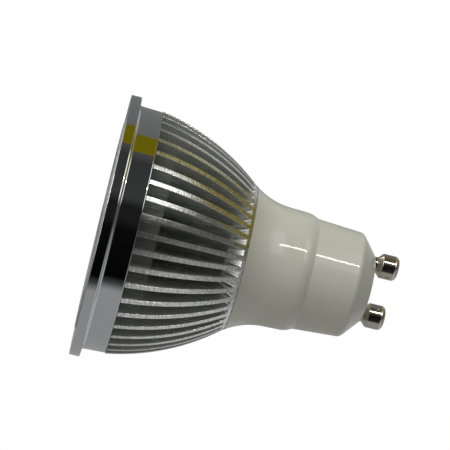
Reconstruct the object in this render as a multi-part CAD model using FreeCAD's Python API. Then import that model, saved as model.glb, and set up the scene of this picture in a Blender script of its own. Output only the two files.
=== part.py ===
import FreeCAD, Part
import math
import os

from FreeCAD import Vector

# LED spotlight lamp with a two-pin twist-lock base. All sizes are in millimetres.
# The lamp stands on its front: z = 0 is the front face of the lens holder, z runs
# along the axis towards the pins, and x runs from one pin to the other.

# Front ring
RING_R = 25.0             # outer radius of the flange
RING_SETBACK = 0.2        # the lens holder stands this far in front of the flange
RING_LENGTH = 6.4         # from the flange's front edge to the end of the band
FLANGE_T = 1.95           # width of the flange's outer rim
FLANGE_HEIGHT = 1.6       # the flange stands out this far from the band
FLANGE_DISH = 0.1         # the front face sinks this much towards the opening
FLANGE_FILLET = 0.5       # radius of the hollow between the flange's back face and the band
BAND_TAPER = 0.2          # the band is this much smaller at its rear end
RING_WALL = 2.0           # thickness of the band
WEB_T = 1.55              # thickness of the ring's front wall
WEB_REACH = 1.25          # the front wall reaches in this far from the ring's bore
EDGE_BEVEL = 0.2          # bevel on the edges of the ring and the lens holder

# Lens holder and its seal
HOLDER_FACE_GAP = 0.15    # gap between the holder's face and the ring's opening
HOLDER_RIM_T = 1.2        # thickness of the rim behind the ring's front wall
HOLDER_LIP = 0.5          # thickness of the lip in front of each lens
SEAL_T = 0.6
SEAL_WIDTH = 1.5
LEG_R = 1.3
LEG_INSET = 3.0           # from the cup's wall to the axis of a leg

# Lenses and light-emitting diodes
LENS_COUNT = 3
LENS_EDGE = 3.8           # from the edge of the holder's face to the lenses
LENS_SPACE = 0.49         # space between two sockets
LENS_GAP = 0.02           # gap between a lens and its socket
LENS_RIM_T = 1.1
LENS_TAIL_R = 3.7         # radius at the lens's small end
LENS_LIP_COVER = 0.5      # the holder's lip covers this much of the lens's edge
SOCKET_WALL = 0.7
SOCKET_REACH = 0.4        # the sockets reach this far behind the holder's rim
DIODE_SIDE = 3.4
DIODE_BASE_T = 0.8
DOME_R = 1.3
POCKET_GAP = 0.35         # free space round a diode in its lens
LENS_BOARD_GAP = 0.3      # gap between a lens and the diode board

# Diode board
BOARD_T = 1.4
PAD_T = 0.2               # thickness of the heat pad behind the board
BOARD_GAP = 0.3           # gap between the board's edge and the cup

# Heat sink
THREAD_GAP = 0.1          # gap between the threaded neck and the ring's bore
FIN_COUNT = 45
FIN_T = 0.9
FIN_PHASE = 76.0          # angle from the line through the pins to a fin
FIN_CREST_R = 23.85       # the fins' outline is an arc, this large at the flange's front
FIN_GAP = 0.1             # gap between the ring and the fins
RIM_WIDTH = 3.8           # length of the shallow part of the grooves
RIM_FLOOR_R = 19.2        # radius of the groove floor there
HUB_R = 12.4              # radius of the groove floor behind it
RUNOUT_LENGTH = 2.9       # the groove floor rises over this length
COLLAR_WIDTH = 0.65       # plain collar behind the grooves
COLLAR_HEIGHT = 1.5       # the collar's end stands out this far from the groove floor
SINK_END = 27.0           # from the flange's front edge to the collar's end
CUP_WALL = 1.6            # wall between the cup and the shallow grooves
CUP_FLOOR_T = 1.75        # wall between the cup's floor and the deep grooves
PLATE_T = 3.6             # thickness of the plate behind the board
HUB_WALL = 2.0            # wall between the grooves and the housing's bore
WIRE_HOLE_R = 1.9

# Housing
SPIGOT_GAP = 0.1          # gap between the housing's spigot and its bore
SPIGOT_END_GAP = 0.2      # the spigot stops this far short of the bore's floor
SKIRT_STEP = 0.06         # the skirt is this much smaller than the collar
SKIRT_DRAW = 3.2          # length in which the skirt would narrow without its curve
SKIRT_SHARE = 0.96        # the hollow curve takes this share of the skirt's slope
WAIST_INSET = 0.7         # the waist is this much smaller than the groove floor
BARREL_DRAFT = 0.32       # the barrel narrows this much to the shoulder
SHOULDER_AT = 11.3        # from the collar to the shoulder
SHOULDER_CURVE = 4.5
SHOULDER_STEP = 0.69      # the shoulder drops this much
SHOULDER_LENGTH = 1.45    # length of the drop
BASE_CURVE = 0.5
BASE_DRAFT = 0.58         # the base narrows this much to its bevel
BEVEL_CURVE = 1.5
BEVEL_LENGTH = 3.1        # length of the bevel along the axis
BEVEL_WIDTH = 3.7         # the bevel narrows the base this much
HOUSING_LENGTH = 24.85    # from the collar to the flat end
END_BEVEL = 0.15
HOUSING_WALL = 1.41       # thickness of the base's wall beside its bevel
END_WALL = 2.6
BEVEL_WALL = 1.6
BOSS_R = 2.4              # bosses that take the housing's screws
BOSS_INSET = 1.7          # from the cavity's wall to the axis of a boss
BOSS_LENGTH = 5.0
GUIDE_T = 0.8             # ribs that hold the driver board's edges
GUIDE_OVERLAP = 0.8       # the ribs reach this far over the board
GUIDE_SETBACK = 4.6       # the ribs start this far behind the board's front end

# Contact pins
PIN_SPACING = 10.0
PIN_GAP = 0.02            # gap between a pin and its hole
PIN_NECK_R = 1.45
PIN_HEAD_R = 2.35
PIN_LENGTH = 4.7          # from the flat end to the tip
PIN_HEAD_LENGTH = 4.1     # with its cone
PIN_CONE_LENGTH = 0.9
PIN_TIP_ROUND = 0.9
PIN_COLLAR_R = 1.85       # the collar inside the end wall
PIN_COLLAR_T = 0.7
PIN_TAIL_R = 0.75
PIN_TAIL_LENGTH = 1.8

# Screws
SCREW_GAP = 0.02          # gap between a screw's thread and its hole
BOARD_SCREW_R = 1.25
BOARD_SCREW_HEAD_R = 2.1
BOARD_SCREW_HEAD_T = 1.4
BOARD_SCREW_HEAD_BEVEL = 0.5
LEG_SCREW_PITCH = 6.0     # from a leg's axis to the board screw inside it
BOARD_HOLE_GAP = 0.15     # extra radius of the holes in the board
HOUSING_SCREW_R = 1.2
HOUSING_SCREW_HEAD_R = 2.2
HOUSING_SCREW_LENGTH = 7.4
SCREW_TIP_R = 0.4
HEAD_SINK = 0.1           # the sunk heads lie this far below the cup's floor
RECESS_WIDTH = 0.6        # width of each arm of the cross recess
RECESS_SPAN = 2.4         # length of each arm
RECESS_DEPTH = 0.8

# Driver board and what is on it
DRIVER_T = 1.2
DRIVER_EDGE_GAP = 0.6     # from the board's edges to the cavity's wall
DRIVER_END_GAP = 1.0      # from the bosses to the board
DRIVER_TAIL_GAP = 2.6     # from the board to the contact pins' tails
GUIDE_GAP = 0.1           # gap between the board and the ribs
CORE_AT = 1.4             # from the board's front end to the transformer core
CORE_WIDTH = 9.0
CORE_LENGTH = 9.6
CORE_EDGE_GAP = 0.55      # from the core's corners to the cavity's wall
CORE_WEB_T = 1.6          # thickness of the transformer core's legs
CORE_POST_R = 1.5
COIL_GAP = 0.15           # gap between the coil and the core
INPUT_CAN_GAP = 1.8       # from the core to the input capacitor
INPUT_CAN_END_GAP = 3.3   # from that capacitor to the board's rear end
INPUT_CAN_TOP_GAP = 1.7   # from that capacitor to the cavity's wall
OUTPUT_CAN_AT = 3.0
OUTPUT_CAN_R = 2.5
OUTPUT_CAN_LENGTH = 7.5
CAN_GAP = 0.1             # a can lies this far off the board
CAN_BEVEL = 0.3
LEAD_R = 0.3
LEAD_HOLE_GAP = 0.02
LEAD_SPACING = 2.5
LEAD_REACH = 1.2          # a lead bends this far beyond its can
LEAD_STUB = 0.6           # a lead ends this far behind the board
CHIP_GAP = 0.9            # from the output capacitor's leads to the chip
CHIP_LENGTH = 4.9
CHIP_WIDTH = 3.9
CHIP_T = 1.5
CHIP_FEET = 4             # feet along each side
BRIDGE_GAP = 0.7          # from the chip to the bridge rectifier
BRIDGE_LENGTH = 4.7
BRIDGE_WIDTH = 4.0
BRIDGE_T = 2.4
BRIDGE_FEET = 2
FOOT_WIDTH = 0.4
FOOT_REACH = 0.9
FOOT_T = 0.2
RESISTOR_R = 1.2
RESISTOR_LENGTH = 6.0
RESISTOR_AT = 12.0
RESISTOR_X = 5.4

# Lead wires
LEAD_WIRE_R = 0.5
WIRE_PITCH = 1.6          # distance between the two output wires
WIRE_END_PITCH = 5.6      # distance between their ends on the diode board
WIRE_RISE = 1.2           # the output wires bend this far from the driver board and the plate
WIRE_HOOK = 1.9           # height of the output wires' hooks in front of the diode board
WIRE_PAD_X = 4.2          # where the input wires meet the driver board
WIRE_PAD_REACH = 2.4      # length of an input wire over that board
WIRE_TIP = 0.1            # gap between a wire and its pad
ARC_SHARE = 0.45          # a bend takes this share of the shorter run beside it

# Levels along the axis
flange_front = RING_SETBACK
web_back = flange_front + WEB_T
ring_end = flange_front + RING_LENGTH
rim_back = web_back + HOLDER_RIM_T
socket_end = rim_back + SOCKET_REACH
neck_front = rim_back + SEAL_T
fins_front = ring_end + FIN_GAP
rim_end = fins_front + RIM_WIDTH
cup_floor = rim_end - CUP_FLOOR_T
board_back = cup_floor - PAD_T
board_front = board_back - BOARD_T
bore_floor = cup_floor + PLATE_T
collar_end = flange_front + SINK_END
base_end = collar_end + HOUSING_LENGTH
spigot_front = bore_floor + SPIGOT_END_GAP
boss_end = spigot_front + BOSS_LENGTH
wall_inside = base_end - END_WALL
tail_end = wall_inside - PIN_COLLAR_T - PIN_TAIL_LENGTH
driver_front = boss_end + DRIVER_END_GAP
driver_back = tail_end - DRIVER_TAIL_GAP

# Radii of the ring, the lens holder and the heat sink
band_r = RING_R - FLANGE_HEIGHT
ring_bore_r = band_r - RING_WALL
opening_r = ring_bore_r - WEB_REACH
holder_face_r = opening_r - HOLDER_FACE_GAP
thread_r = ring_bore_r - THREAD_GAP
cup_r = RIM_FLOOR_R - CUP_WALL
leg_circle = cup_r - LEG_INSET
screw_circle = leg_circle - LEG_SCREW_PITCH

# The lenses are as large as a ring of them can be inside the holder's face
lens_reach = holder_face_r - LENS_EDGE
lens_pitch = 2 * math.sin(math.pi / LENS_COUNT)
socket_extra = LENS_GAP + SOCKET_WALL
lens_r = (lens_pitch * lens_reach - 2 * socket_extra - LENS_SPACE) / (2 + lens_pitch)
lens_circle = lens_reach - lens_r
lens_hole_r = lens_r + LENS_GAP
socket_r = lens_r + socket_extra

# Radii of the heat sink's hub and fins
bore_r = HUB_R - HUB_WALL
collar_r = HUB_R + COLLAR_HEIGHT
fin_drop = FIN_CREST_R - collar_r
fin_arc_r = (fin_drop ** 2 + SINK_END ** 2) / (2 * fin_drop)

# Radii of the housing
spigot_r = bore_r - SPIGOT_GAP
skirt_r = collar_r - SKIRT_STEP
waist_r = HUB_R - WAIST_INSET
shoulder_r = waist_r - BARREL_DRAFT
base_r = shoulder_r - SHOULDER_STEP
base_tip_r = base_r - BASE_DRAFT
end_r = base_tip_r - BEVEL_WIDTH
cavity_r = base_tip_r - HOUSING_WALL
boss_circle = cavity_r - BOSS_INSET

# Sizes and places on the driver board, the places from its front end
driver_length = driver_back - driver_front
driver_width = 2 * (cavity_r - DRIVER_EDGE_GAP)
core_top = math.sqrt((cavity_r - CORE_EDGE_GAP) ** 2 - (CORE_WIDTH / 2) ** 2)
core_height = core_top - DRIVER_T / 2
coil_r = min(core_height / 2, CORE_WIDTH / 2 - CORE_WEB_T) - COIL_GAP
can_foot = DRIVER_T / 2 + CAN_GAP
input_can_r = (cavity_r - INPUT_CAN_TOP_GAP - can_foot) / 2
input_can_at = CORE_AT + CORE_LENGTH + INPUT_CAN_GAP
input_can_length = driver_length - input_can_at - INPUT_CAN_END_GAP
chip_at = OUTPUT_CAN_AT + OUTPUT_CAN_LENGTH + LEAD_REACH + CHIP_GAP
bridge_at = chip_at + CHIP_LENGTH + BRIDGE_GAP

Z_AXIS = Vector(0, 0, 1)
ORIGIN = Vector(0, 0, 0)
FLAT = "flat"
MITRED = 1


def corner_arc(before, corner, after, radius):
    """Where a round of this radius leaves the first line, bends, and joins the second."""
    back = (before - corner).normalize()
    ahead = (after - corner).normalize()
    half = back.getAngle(ahead) / 2
    reach = radius / math.tan(half)
    middle = (back + ahead).normalize()
    deep = radius / math.sin(half) - radius
    return corner + back * reach, corner + middle * deep, corner + ahead * reach


def bevel_stops(before, corner, after, size):
    """The two ends of a flat bevel that takes this much off both lines."""
    back = (before - corner).normalize()
    ahead = (after - corner).normalize()
    return [corner + back * size, corner + ahead * size]


def outline_wire(corners):
    """A closed outline through corners given as (radius from the axis, z, size of the round).

    A corner with FLAT as a fourth item has a flat bevel of that size and no round.
    """
    points = [Vector(corner[0], 0, corner[1]) for corner in corners]
    count = len(points)
    edges = []
    first = None
    last = None
    for i, (point, corner) in enumerate(zip(points, corners)):
        before = points[i - 1]
        after = points[(i + 1) % count]
        size = corner[2]
        middle = None
        if size == 0:
            stops = [point]
        elif corner[-1] == FLAT:
            stops = bevel_stops(before, point, after, size)
        else:
            start, middle, end = corner_arc(before, point, after, size)
            stops = [start, end]
        if last is None:
            first = stops[0]
        else:
            edges.append(Part.LineSegment(last, stops[0]).toShape())
        if middle is not None:
            edges.append(Part.Arc(stops[0], middle, stops[1]).toShape())
        elif len(stops) == 2:
            edges.append(Part.LineSegment(stops[0], stops[1]).toShape())
        last = stops[-1]
    edges.append(Part.LineSegment(last, first).toShape())
    return Part.Wire(edges)


def turned(corners):
    """A solid turned about the z axis from an outline."""
    return Part.Face(outline_wire(corners)).revolve(ORIGIN, Z_AXIS, 360)


def rod(radius, z_from, z_to, x=0.0, y=0.0):
    return Part.makeCylinder(radius, z_to - z_from, Vector(x, y, z_from))


def block(x_from, x_to, y_from, y_to, z_from, z_to):
    return Part.makeBox(x_to - x_from, y_to - y_from, z_to - z_from, Vector(x_from, y_from, z_from))


def on_circle(radius, angle, z=0.0):
    turn = math.radians(angle)
    return Vector(radius * math.cos(turn), radius * math.sin(turn), z)


def moved(shape, place, turn=0.0):
    """A copy turned about z and then moved to its place."""
    copy = shape.copy()
    copy.rotate(ORIGIN, Z_AXIS, turn)
    copy.translate(place)
    return copy


def fitting_radius(before, corner, after, share):
    """The radius of the round that takes this share of the shorter line at a corner."""
    reach = share * min(before.distanceToPoint(corner), corner.distanceToPoint(after))
    return reach * math.tan((before - corner).getAngle(after - corner) / 2)


def bent_rod(points, radius):
    """A round wire of straight runs, with an arc as large as fits at each corner."""
    points = [Vector(*point) for point in points]
    edges = []
    start = points[0]
    for before, corner, after in zip(points, points[1:], points[2:]):
        bend = fitting_radius(before, corner, after, ARC_SHARE)
        leave, middle, join = corner_arc(before, corner, after, bend)
        edges.append(Part.LineSegment(start, leave).toShape())
        edges.append(Part.Arc(leave, middle, join).toShape())
        start = join
    edges.append(Part.LineSegment(start, points[-1]).toShape())
    path = Part.Wire(edges)
    section = Part.Wire(Part.makeCircle(radius, points[0], points[1] - points[0]))
    return path.makePipeShell([section], True, False)


def lens_angles():
    return [360.0 * i / LENS_COUNT for i in range(LENS_COUNT)]


def between_angles():
    return [angle + 180.0 / LENS_COUNT for angle in lens_angles()]


def boss_places():
    return [Vector(0, side * boss_circle, 0) for side in (1, -1)]


def front_ring():
    band_rear_r = band_r - BAND_TAPER
    flange_back = flange_front + FLANGE_T
    return turned([
        (opening_r, flange_front + FLANGE_DISH, 0),
        (RING_R, flange_front, EDGE_BEVEL, FLAT),
        (RING_R, flange_back, EDGE_BEVEL, FLAT),
        (band_r, flange_back, FLANGE_FILLET),
        (band_rear_r, ring_end, EDGE_BEVEL, FLAT),
        (ring_bore_r, ring_end, 0),
        (ring_bore_r, web_back, 0),
        (opening_r, web_back, 0),
    ])


def lens_holder():
    plate = turned([
        (0, 0, 0),
        (holder_face_r, 0, EDGE_BEVEL, FLAT),
        (holder_face_r, web_back, 0),
        (thread_r, web_back, 0),
        (thread_r, rim_back, 0),
        (0, rim_back, 0),
    ])
    extras = []
    cuts = []
    for angle in lens_angles():
        place = on_circle(lens_circle, angle)
        extras.append(moved(rod(socket_r, HOLDER_LIP, socket_end), place))
        cuts.append(moved(rod(lens_hole_r, HOLDER_LIP, socket_end), place))
        cuts.append(moved(rod(lens_r - LENS_LIP_COVER, 0, HOLDER_LIP), place))
    for angle in between_angles():
        extras.append(moved(rod(LEG_R, web_back, board_front), on_circle(leg_circle, angle)))
    return plate.fuse(extras).cut(cuts).removeSplitter()


def holder_seal():
    seal = rod(thread_r, rim_back, neck_front)
    return seal.cut(rod(thread_r - SEAL_WIDTH, rim_back, neck_front))


def lens():
    """A collimator lens on its own axis, with the pocket for its diode."""
    front = HOLDER_LIP
    back = board_front - LENS_BOARD_GAP
    diode_height = DIODE_BASE_T + DOME_R
    pocket_r = DIODE_SIDE / math.sqrt(2) + POCKET_GAP
    pocket_end = board_front - diode_height - POCKET_GAP
    rim_back_z = front + LENS_RIM_T
    return turned([
        (0, front, 0),
        (lens_r, front, 0),
        (lens_r, rim_back_z, 0),
        (lens_r - LENS_LIP_COVER, rim_back_z, 0),
        (LENS_TAIL_R, back, 0),
        (pocket_r, back, 0),
        (pocket_r, pocket_end, 0),
        (0, pocket_end, 0),
    ])


def diode():
    half = DIODE_SIDE / 2
    base = block(-half, half, -half, half, board_front - DIODE_BASE_T, board_front)
    top = Vector(0, 0, board_front - DIODE_BASE_T)
    dome = Part.makeSphere(DOME_R, top, Vector(0, 0, -1), 0, 90, 360)
    return base.fuse(dome).removeSplitter()


def diode_board():
    board = rod(cup_r - BOARD_GAP, board_front, board_back)
    cuts = [rod(WIRE_HOLE_R, board_front, board_back)]
    for angle in between_angles():
        hole = rod(BOARD_SCREW_R + BOARD_HOLE_GAP, board_front, board_back)
        cuts.append(moved(hole, on_circle(screw_circle, angle)))
    return board.cut(cuts)


def heat_pad():
    pad = rod(cup_r - BOARD_GAP, board_back, cup_floor)
    cuts = [rod(WIRE_HOLE_R, board_back, cup_floor)]
    for angle in between_angles():
        hole = rod(BOARD_SCREW_R + BOARD_HOLE_GAP, board_back, cup_floor)
        cuts.append(moved(hole, on_circle(screw_circle, angle)))
    for place in boss_places():
        cuts.append(moved(rod(HOUSING_SCREW_HEAD_R, board_back, cup_floor), place))
    return pad.cut(cuts)


def cross_recess(z_from, z_to):
    """A cross-shaped screwdriver recess on the z axis."""
    narrow = RECESS_WIDTH / 2
    wide = RECESS_SPAN / 2
    arms = block(-narrow, narrow, -wide, wide, z_from, z_to)
    return arms.fuse(block(-wide, wide, -narrow, narrow, z_from, z_to))


def board_screw():
    """A pan-head screw that holds the diode board, its thread in the plate."""
    head_front = board_front - BOARD_SCREW_HEAD_T
    tip = bore_floor - SCREW_GAP
    screw = turned([
        (0, head_front, 0),
        (BOARD_SCREW_HEAD_R, head_front, BOARD_SCREW_HEAD_BEVEL, FLAT),
        (BOARD_SCREW_HEAD_R, board_front, 0),
        (BOARD_SCREW_R, board_front, 0),
        (BOARD_SCREW_R, tip, 0),
        (0, tip, 0),
    ])
    return screw.cut(cross_recess(head_front, head_front + RECESS_DEPTH))


def housing_screw():
    """A sunk-head screw that draws the housing to the heat sink."""
    top = cup_floor + HEAD_SINK
    cone = HOUSING_SCREW_HEAD_R - HOUSING_SCREW_R
    tip = top + HOUSING_SCREW_LENGTH
    screw = turned([
        (0, top, 0),
        (HOUSING_SCREW_HEAD_R, top, 0),
        (HOUSING_SCREW_R, top + cone, 0),
        (HOUSING_SCREW_R, tip - HOUSING_SCREW_R, 0),
        (SCREW_TIP_R, tip, 0),
        (0, tip, 0),
    ])
    return screw.cut(cross_recess(top, top + RECESS_DEPTH))


def sink_radius(z):
    """The radius of the fins' outline at this level."""
    across = math.sqrt(fin_arc_r ** 2 - (z - flange_front) ** 2)
    return FIN_CREST_R - fin_arc_r + across


def sink_blank():
    """The heat sink before its grooves are cut, as one turned body."""
    levels = [fins_front, (fins_front + collar_end) / 2, collar_end]
    arc = [Vector(sink_radius(z), 0, z) for z in levels]
    straight = [
        arc[2],
        Vector(bore_r, 0, collar_end),
        Vector(bore_r, 0, bore_floor),
        Vector(0, 0, bore_floor),
        Vector(0, 0, cup_floor),
        Vector(cup_r, 0, cup_floor),
        Vector(cup_r, 0, neck_front),
        Vector(thread_r, 0, neck_front),
        Vector(thread_r, 0, fins_front),
        arc[0],
    ]
    outline = Part.Wire([Part.Arc(*arc).toShape(), Part.makePolygon(straight)])
    return Part.Face(outline).revolve(ORIGIN, Z_AXIS, 360)


def groove():
    """The space between two fins, centred on the x axis, with its rising end."""
    half_pitch = 180.0 / FIN_COUNT
    apex = FIN_T / 2 / math.sin(math.radians(half_pitch))
    outside = FIN_CREST_R + FIN_T
    corners = [Vector(apex, 0, fins_front)]
    for side in (1, -1):
        corners.append(corners[0] + on_circle(outside, side * half_pitch))
    wedge = Part.Face(Part.makePolygon(corners + corners[:1]))
    wedge = wedge.extrude(Vector(0, 0, collar_end - fins_front))
    groove_end = collar_end - COLLAR_WIDTH
    rise_start = groove_end - RUNOUT_LENGTH
    slope = (sink_radius(groove_end) - HUB_R) / RUNOUT_LENGTH
    rise_end = rise_start + (outside - HUB_R) / slope
    swept = turned([
        (RIM_FLOOR_R, fins_front, 0),
        (outside, fins_front, 0),
        (outside, rise_end, 0),
        (HUB_R, rise_start, 0),
        (HUB_R, rim_end, 0),
        (RIM_FLOOR_R, rim_end, 0),
    ])
    return wedge.common(swept)


def heat_sink():
    blank = sink_blank()
    cutter = groove()
    cuts = []
    for i in range(FIN_COUNT):
        cuts.append(moved(cutter, ORIGIN, 360.0 * (i + 0.5) / FIN_COUNT + FIN_PHASE))
    cuts.append(rod(WIRE_HOLE_R, cup_floor, bore_floor))
    for angle in between_angles():
        hole = rod(BOARD_SCREW_R + SCREW_GAP, cup_floor, bore_floor)
        cuts.append(moved(hole, on_circle(screw_circle, angle)))
    head_r = HOUSING_SCREW_HEAD_R + SCREW_GAP
    shank_r = HOUSING_SCREW_R + SCREW_GAP
    sunk = turned([
        (0, cup_floor, 0),
        (head_r, cup_floor, 0),
        (head_r, cup_floor + HEAD_SINK, 0),
        (shank_r, cup_floor + HEAD_SINK + head_r - shank_r, 0),
        (shank_r, bore_floor, 0),
        (0, bore_floor, 0),
    ])
    cuts.extend(moved(sunk, place) for place in boss_places())
    return blank.cut(cuts)


def housing_shell():
    bevel_slope = BEVEL_WIDTH / BEVEL_LENGTH
    inset = BEVEL_WALL * math.sqrt(1 + bevel_slope ** 2)
    end_inside_r = end_r + END_WALL * bevel_slope - inset
    cavity_end = wall_inside - (cavity_r - end_inside_r) / bevel_slope
    skirt_start = Vector(skirt_r, 0, collar_end)
    waist = Vector(waist_r, 0, collar_end + SKIRT_DRAW)
    shoulder = Vector(shoulder_r, 0, collar_end + SHOULDER_AT)
    skirt_curve = fitting_radius(skirt_start, waist, shoulder, SKIRT_SHARE)
    outside = turned([
        (0, spigot_front, 0),
        (spigot_r, spigot_front, 0),
        (spigot_r, collar_end, 0),
        (skirt_start.x, skirt_start.z, 0),
        (waist.x, waist.z, skirt_curve),
        (shoulder.x, shoulder.z, SHOULDER_CURVE),
        (base_r, shoulder.z + SHOULDER_LENGTH, BASE_CURVE),
        (base_tip_r, base_end - BEVEL_LENGTH, BEVEL_CURVE),
        (end_r, base_end, END_BEVEL, FLAT),
        (0, base_end, 0),
    ])
    inside = turned([
        (0, spigot_front, 0),
        (cavity_r, spigot_front, 0),
        (cavity_r, cavity_end, 0),
        (end_inside_r, wall_inside, 0),
        (0, wall_inside, 0),
    ])
    return outside, inside


def base_housing():
    outside, inside = housing_shell()
    shell = outside.cut(inside)
    extras = []
    for place in boss_places():
        extras.append(moved(rod(BOSS_R, spigot_front, boss_end), place).common(outside))
    inner = DRIVER_T / 2 + GUIDE_GAP
    root = (cavity_r + base_tip_r) / 2
    guide_front = driver_front + GUIDE_SETBACK
    for side in (1, -1):
        for low in (inner, -inner - GUIDE_T):
            edges = sorted([side * (driver_width / 2 - GUIDE_OVERLAP), side * root])
            extras.append(block(edges[0], edges[1], low, low + GUIDE_T, guide_front, driver_back))
    cuts = []
    for place in boss_places():
        cuts.append(moved(rod(HOUSING_SCREW_R + SCREW_GAP, spigot_front, boss_end), place))
    for side in (1, -1):
        hole = rod(PIN_NECK_R + PIN_GAP, wall_inside, base_end)
        seat = rod(PIN_COLLAR_R + PIN_GAP, wall_inside - PIN_COLLAR_T, wall_inside)
        cuts.append(moved(hole.fuse(seat), Vector(side * PIN_SPACING / 2, 0, 0)))
    return shell.fuse(extras).cut(cuts)


def contact_pin():
    """A twist-lock pin on its own axis: head, neck, collar inside the wall, and tail."""
    tip = base_end + PIN_LENGTH
    head_start = tip - PIN_HEAD_LENGTH
    collar_front = wall_inside - PIN_COLLAR_T
    return turned([
        (0, tail_end, 0),
        (PIN_TAIL_R, tail_end, 0),
        (PIN_TAIL_R, collar_front, 0),
        (PIN_COLLAR_R, collar_front, 0),
        (PIN_COLLAR_R, wall_inside, 0),
        (PIN_NECK_R, wall_inside, 0),
        (PIN_NECK_R, head_start, 0),
        (PIN_HEAD_R, head_start + PIN_CONE_LENGTH, 0),
        (PIN_HEAD_R, tip, PIN_TIP_ROUND),
        (0, tip, 0),
    ])


def driver_board():
    half_t = DRIVER_T / 2
    half_w = driver_width / 2
    board = block(-half_w, half_w, -half_t, half_t, driver_front, driver_back)
    hole_r = LEAD_R + LEAD_HOLE_GAP
    across = Vector(0, 1, 0)
    return board.cut([
        Part.makeCylinder(hole_r, DRIVER_T, Vector(x, -half_t, z), across)
        for x, z in lead_places()
    ])


def transformer_core():
    """Two legs joined at both ends, round a middle post that carries the coil."""
    front = driver_front + CORE_AT
    foot = DRIVER_T / 2
    half = CORE_WIDTH / 2
    outer = block(-half, half, foot, foot + core_height, front, front + CORE_LENGTH)
    inner_half = half - CORE_WEB_T
    back = front + CORE_LENGTH - CORE_WEB_T
    window = block(-inner_half, inner_half, foot, foot + core_height, front + CORE_WEB_T, back)
    post = rod(CORE_POST_R, front + CORE_WEB_T, back, 0, foot + core_height / 2)
    return outer.cut(window).fuse(post)


def transformer_coil():
    front = driver_front + CORE_AT + CORE_WEB_T + COIL_GAP
    back = driver_front + CORE_AT + CORE_LENGTH - CORE_WEB_T - COIL_GAP
    height = DRIVER_T / 2 + core_height / 2
    coil = rod(coil_r, front, back, 0, height)
    return coil.cut(rod(CORE_POST_R + COIL_GAP, front, back, 0, height))


def bent_lead(x, y, z_end, way):
    """A lead that leaves a component's end along z and is folded down through the board."""
    through = -math.copysign(DRIVER_T / 2 + LEAD_STUB, y)
    turn_z = z_end + way * LEAD_REACH
    points = [Vector(x, y, z_end), Vector(x, y, turn_z), Vector(x, through, turn_z)]
    section = Part.Wire(Part.makeCircle(LEAD_R, points[0], points[1] - points[0]))
    return Part.makePolygon(points).makePipeShell([section], True, False, MITRED)


def can(radius, length, at, side):
    """An electrolytic capacitor that lies along the board, its two leads bent into it."""
    front = driver_front + at
    axis_y = side * (can_foot + radius)
    body = turned([
        (0, front, 0),
        (radius, front, CAN_BEVEL, FLAT),
        (radius, front + length, CAN_BEVEL, FLAT),
        (0, front + length, 0),
    ])
    body.translate(Vector(0, axis_y, 0))
    end = front + length
    return body.fuse([bent_lead(x, axis_y, end, 1) for x in (LEAD_SPACING / 2, -LEAD_SPACING / 2)])


def lead_places():
    """Where the leads pass through the driver board, as x and z."""
    places = []
    for at, length in ((input_can_at, input_can_length), (OUTPUT_CAN_AT, OUTPUT_CAN_LENGTH)):
        for x in (LEAD_SPACING / 2, -LEAD_SPACING / 2):
            places.append((x, driver_front + at + length + LEAD_REACH))
    front = driver_front + RESISTOR_AT
    places.append((RESISTOR_X, front - LEAD_REACH))
    places.append((RESISTOR_X, front + RESISTOR_LENGTH + LEAD_REACH))
    return places


def chip(length, width, thickness, at, feet):
    """A flat package on the board's back face, with bent feet along both sides."""
    front = driver_front + at
    face = -DRIVER_T / 2
    half = width / 2
    body = block(-half, half, face - FOOT_T - thickness, face - FOOT_T, front, front + length)
    pitch = length / feet
    pieces = []
    for i in range(feet):
        z = front + pitch * (i + 0.5) - FOOT_WIDTH / 2
        for side in (1, -1):
            tip = sorted([side * (half - FOOT_T), side * (half + FOOT_REACH)])
            pieces.append(block(tip[0], tip[1], face - FOOT_T, face, z, z + FOOT_WIDTH))
    return body.fuse(pieces)


def fuse_resistor():
    front = driver_front + RESISTOR_AT
    back = front + RESISTOR_LENGTH
    axis_y = -can_foot - RESISTOR_R
    body = turned([
        (0, front, 0),
        (RESISTOR_R, front, CAN_BEVEL, FLAT),
        (RESISTOR_R, back, CAN_BEVEL, FLAT),
        (0, back, 0),
    ])
    body.translate(Vector(RESISTOR_X, axis_y, 0))
    return body.fuse([
        bent_lead(RESISTOR_X, axis_y, front, -1),
        bent_lead(RESISTOR_X, axis_y, back, 1),
    ])


def output_wire(side):
    """From the driver board's front end, through the plate, to the diode board's face."""
    x = side * WIRE_PITCH / 2
    end_x = side * WIRE_END_PITCH / 2
    start_y = -DRIVER_T / 2 - LEAD_WIRE_R - WIRE_TIP
    return bent_rod([
        (x, start_y, driver_front + WIRE_RISE),
        (x, start_y, driver_front - WIRE_RISE),
        (x, 0, bore_floor + WIRE_RISE),
        (x, 0, board_front - WIRE_HOOK),
        (end_x, 0, board_front - WIRE_HOOK),
        (end_x, 0, board_front - WIRE_TIP),
    ], LEAD_WIRE_R)


def input_wire(side):
    """From a contact pin's tail to the driver board's rear end."""
    x = side * PIN_SPACING / 2
    pad_x = side * WIRE_PAD_X
    pad_y = side * (DRIVER_T / 2 + LEAD_WIRE_R + WIRE_TIP)
    middle = (tail_end + driver_back) / 2
    return bent_rod([
        (x, 0, tail_end),
        (x, 0, middle + LEAD_WIRE_R),
        (pad_x, pad_y, middle - LEAD_WIRE_R),
        (pad_x, pad_y, driver_back - WIRE_PAD_REACH),
    ], LEAD_WIRE_R)


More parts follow.
